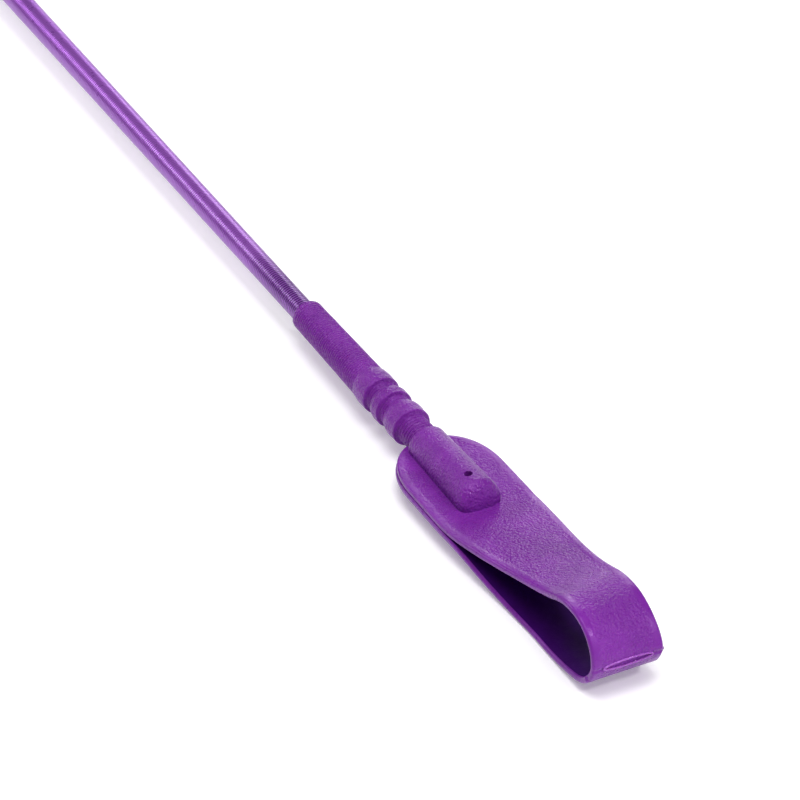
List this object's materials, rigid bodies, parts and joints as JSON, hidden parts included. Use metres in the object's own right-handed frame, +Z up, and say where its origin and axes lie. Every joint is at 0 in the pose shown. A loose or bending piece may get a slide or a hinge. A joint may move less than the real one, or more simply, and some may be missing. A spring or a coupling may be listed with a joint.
{
  "type": "riding crop",
  "caption": "Riding crop with a tapered, thread-wound shaft, a ribbed keeper socket with a folded strap loop, a moulded grip and a mushroom end cap.",
  "frame": {"origin": "under the middle of the crop's length, level with the lowest point of the end cap", "axes": "+X along the shaft towards the keeper's tip, +Z up out of the keeper's flat base, +Y across the strap"},
  "size_m": [0.65, 0.0298, 0.0268],
  "materials": {
    "keeper_plastic": "soft purple moulded plastic with a leather grain",
    "pin_plastic": "dark purple plastic",
    "thread": "purple polyester thread, closely wound",
    "clear_skin": "clear glossy skin with a purple tint",
    "glass_fibre": "pultruded glass fibre",
    "grip_rubber": "purple soft rubber with fine ribs",
    "ferrule_plastic": "dark purple plastic",
    "former_plastic": "black stiff plastic",
    "plug_wood": "plain turned wood",
    "steel": "brushed"
  },
  "bodies": {
    "root": {"end_cap": "grip_rubber", "cap_disc": "steel", "cap_nail": "steel", "butt_plug": "plug_wood", "grip_former": "former_plastic", "grip_sleeve": "grip_rubber", "grip_ferrule": "ferrule_plastic", "core_rod": "glass_fibre", "thread_winding": "thread", "clear_coat": "clear_skin", "front_binding": "thread", "rear_binding": "thread", "keeper_socket": "keeper_plastic", "retaining_pin": "pin_plastic", "strap_tail": "keeper_plastic", "bond_film": "pin_plastic"},
    "loop": {"upper_strap": "keeper_plastic", "lower_strap": "keeper_plastic"}
  },
  "joints": [
    {"name": "keeper_flex", "type": "hinge", "parent": "root", "child": "loop", "pos_m": [0.2529, 0, 0.01035], "axis": [0, 1, 0], "range_deg": [-60, 60], "stiffness_Nm_per_rad": 0.4}
  ]
}
